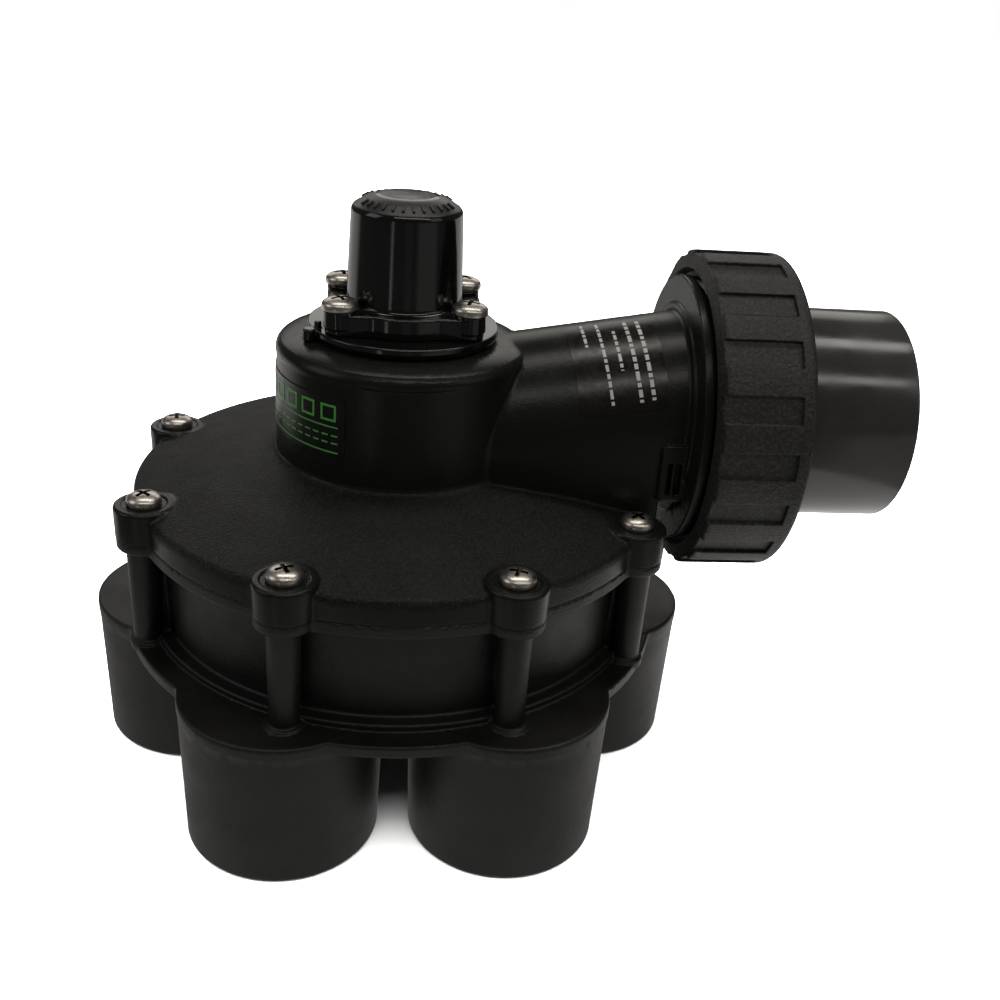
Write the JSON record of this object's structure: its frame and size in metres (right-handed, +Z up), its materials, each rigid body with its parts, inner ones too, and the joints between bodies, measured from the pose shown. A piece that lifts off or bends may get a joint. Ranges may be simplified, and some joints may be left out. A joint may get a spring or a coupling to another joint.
{
  "type": "indexing valve",
  "caption": "Pressure-driven indexing valve: side union inlet feeding a ring of downward slip outlets in turn, with a crowned lid, stem collar and cam cover.",
  "frame": {"origin": "on the body axis, in the plane of the outlet mouths, at the middle of the base foot", "axes": "+Z up along the stem, +X along the inlet towards the mouth of its pipe socket"},
  "size_m": [0.2281, 0.159, 0.1626],
  "materials": {
    "body_black": "fine moulded grain",
    "lid_black": "grained top, satin collar and neck",
    "gloss_black": "polished",
    "nut_black": "coarse moulded grain",
    "tail_black": "smooth satin",
    "stainless": "satin stainless",
    "seal_rubber": "matte",
    "bearing_plastic": "natural acetal",
    "label_dark": "printed film, plain marks only"
  },
  "bodies": {
    "housing": {"lower_body": "body_black", "lid": "lid_black", "body_o_ring": "seal_rubber", "lid_screws": "stainless", "cover_seat_ring": "gloss_black", "cover_o_ring": "seal_rubber", "cam_cover": "gloss_black", "cam_cover_screws": "stainless", "cam_track_pins": "stainless", "stem_bushing": "bearing_plastic", "return_spring": "stainless", "union_o_ring": "seal_rubber", "collar_label": "label_dark", "neck_label": "label_dark"},
    "lift": {"thrust_washer": "bearing_plastic"},
    "rotor": {"stem": "stainless", "rotor_disc": "body_black", "disc_seal": "seal_rubber", "disc_clamp_washer": "stainless", "disc_clamp_nut": "stainless", "cam": "bearing_plastic", "cam_upper_o_ring": "seal_rubber", "cam_lower_o_ring": "seal_rubber", "cam_screw": "stainless"},
    "tail": {"union_tailpiece": "tail_black"},
    "nut": {"union_nut": "nut_black"}
  },
  "joints": [
    {"name": "rotor_lift", "type": "slide", "parent": "housing", "child": "lift", "axis": [0, 0, 1], "range_m": [-0.01, 0], "stiffness_N_per_m": 1200, "springref_m": 0.004, "deforming": ["return_spring"]},
    {"name": "rotor_turn", "type": "hinge", "parent": "lift", "child": "rotor", "pos_m": [0, 0, 0], "axis": [0, 0, 1], "range_deg": [0, 30.05]},
    {"name": "union_travel", "type": "slide", "parent": "housing", "child": "tail", "axis": [1, 0, 0], "range_m": [0, 0.0126]},
    {"name": "nut_turn", "type": "hinge", "parent": "tail", "child": "nut", "pos_m": [0.09, 0, 0.1054], "axis": [1, 0, 0], "range_deg": [0, 900]}
  ],
  "couplings": [
    {"joint": "rotor_turn", "follows": "rotor_lift", "rad_per_m": -52.36},
    {"joint": "union_travel", "follows": "nut_turn", "m_per_rad": 0.00079577}
  ]
}
